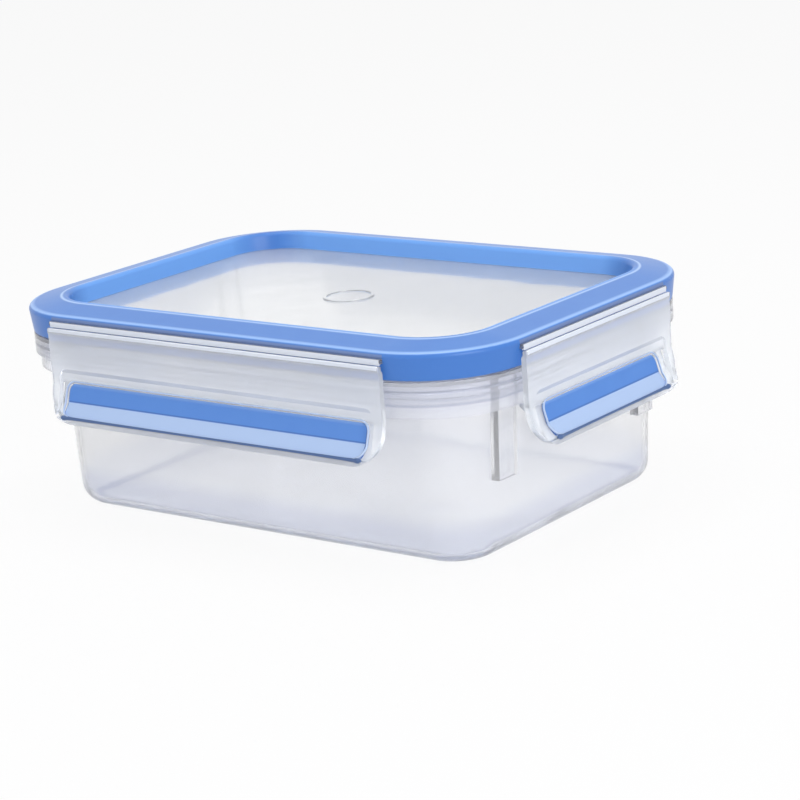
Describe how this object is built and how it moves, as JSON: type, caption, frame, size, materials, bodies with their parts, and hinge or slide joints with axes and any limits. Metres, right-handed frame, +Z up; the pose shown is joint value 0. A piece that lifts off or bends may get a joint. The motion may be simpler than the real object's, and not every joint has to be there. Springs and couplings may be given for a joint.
{
  "type": "food storage container",
  "caption": "Clear rectangular clip-lock food box with a recessed lid, a blue lid rim and hinged clear flaps with blue grips that snap under the collar.",
  "frame": {"origin": "on the standing surface, below the middle of the box", "axes": "+Z up, +X along the long side, -Y out of the front long side"},
  "size_m": [0.2096, 0.1566, 0.0735],
  "materials": {
    "clear_tub": "clear, glossy",
    "clear_lid": "clear, slightly milky",
    "clear_clip": "clear, slightly milky",
    "blue_rim": "satin, soft-touch",
    "blue_grip": "satin, soft-touch"
  },
  "bodies": {
    "box": {"tub": "clear_tub", "lid_panel": "clear_lid", "lid_rim": "blue_rim"},
    "front_flap": {"clip_front": "clear_clip", "grip_front": "blue_grip"},
    "right_flap": {"clip_right": "clear_clip", "grip_right": "blue_grip"},
    "back_flap": {"clip_back": "clear_clip", "grip_back": "blue_grip"},
    "left_flap": {"clip_left": "clear_clip", "grip_left": "blue_grip"}
  },
  "joints": [
    {"name": "front_hinge", "type": "hinge", "parent": "box", "child": "front_flap", "pos_m": [0, -0.0735, 0.0679], "axis": [-1, 0, 0], "range_deg": [0, 150]},
    {"name": "right_hinge", "type": "hinge", "parent": "box", "child": "right_flap", "pos_m": [0.1, 0, 0.0679], "axis": [0, -1, 0], "range_deg": [0, 150]},
    {"name": "back_hinge", "type": "hinge", "parent": "box", "child": "back_flap", "pos_m": [0, 0.0735, 0.0679], "axis": [1, 0, 0], "range_deg": [0, 150]},
    {"name": "left_hinge", "type": "hinge", "parent": "box", "child": "left_flap", "pos_m": [-0.1, 0, 0.0679], "axis": [0, 1, 0], "range_deg": [0, 150]}
  ]
}
